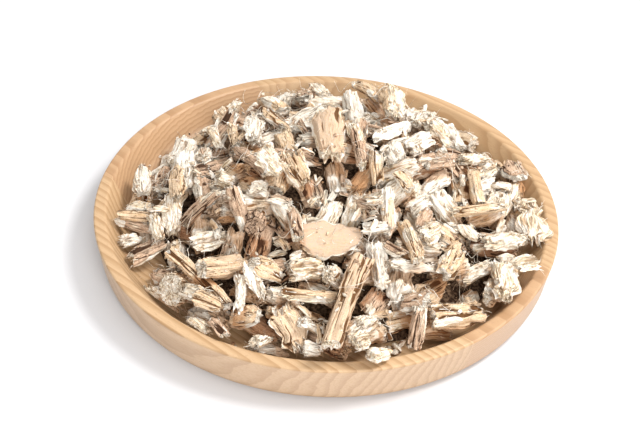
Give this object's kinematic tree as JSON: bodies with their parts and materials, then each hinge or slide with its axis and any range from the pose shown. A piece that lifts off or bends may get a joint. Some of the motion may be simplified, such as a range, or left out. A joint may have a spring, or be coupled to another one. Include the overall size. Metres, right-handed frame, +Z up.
{
  "type": "dish of chopped marshmallow root",
  "caption": "Shallow round turned wooden dish holding a heaped mound of chopped dried root in sticks, slabs, shards and cross slices.",
  "frame": {"origin": "middle of the dish's flat underside, where it stands on the table", "axes": "+Z up out of the dish; +Y towards the back of the heap, +X to its right"},
  "size_m": [0.18, 0.18, 0.0501],
  "materials": {
    "dish_wood": "satin oiled, three pale edge-glued boards with fine grain",
    "heap_mix": "dry, matt, fibrous, mixed cream, tan and brown chips",
    "root_pale": "dry, matt, cream-white fibrous root flesh with frayed ends",
    "root_tan": "dry, matt, tan bark with lengthwise brown furrows",
    "root_bark": "dry, matt, grey-brown wrinkled bark"
  },
  "bodies": {
    "root": {"dish": "dish_wood", "heap": "heap_mix", "stick_back_1": "root_tan", "shard_back_2": "root_pale", "slab_back_3": "root_bark", "stick_back_4": "root_tan", "shard_back_5": "root_pale", "slab_back_6": "root_bark", "stick_back_7": "root_tan", "shard_back_8": "root_pale", "slab_back_9": "root_bark", "shard_front_edge": "root_pale", "shard_left_edge": "root_pale", "slab_left_wall": "root_pale", "slab_right_wall": "root_pale", "slab_back_wall": "root_bark", "slab_curved_front": "root_tan", "slab_low_front": "root_tan", "shard_low_front": "root_pale", "slice_left": "root_pale", "slab_bark_left": "root_bark", "stick_left_edge": "root_bark", "knot_right": "root_tan", "slab_lower_right": "root_bark", "stick_lower_right": "root_bark", "slab_right": "root_pale", "shard_right": "root_pale", "stick_slanting_left": "root_tan", "shard_slanting_front": "root_pale", "stick_level_left": "root_tan", "shard_block_left": "root_pale", "strip_front": "root_tan", "shard_front": "root_pale", "shard_bowl": "root_pale", "slab_wide_middle": "root_tan", "shard_fibrous": "root_pale", "stick_long_front": "root_tan", "stick_right_a": "root_tan", "shard_thin_right": "root_pale", "stick_striped_right": "root_tan", "shard_left_white": "root_pale", "stick_brown_left": "root_bark", "stick_furrowed_left": "root_bark", "slice_dark": "root_bark", "stick_middle_right": "root_tan", "stick_upright_right": "root_tan", "shard_long_right": "root_pale", "stick_dark_right": "root_bark", "shard_upper_right": "root_pale", "slab_middle": "root_bark", "slab_comb": "root_tan", "stick_purple_brown": "root_bark", "shard_upper_left": "root_pale", "slice_upper_left": "root_pale", "stick_crest_white": "root_pale", "slab_crest": "root_tan", "stick_crest_grey": "root_bark", "shard_crest_flat": "root_pale", "shard_crest_block": "root_tan"}
  },
  "joints": []
}
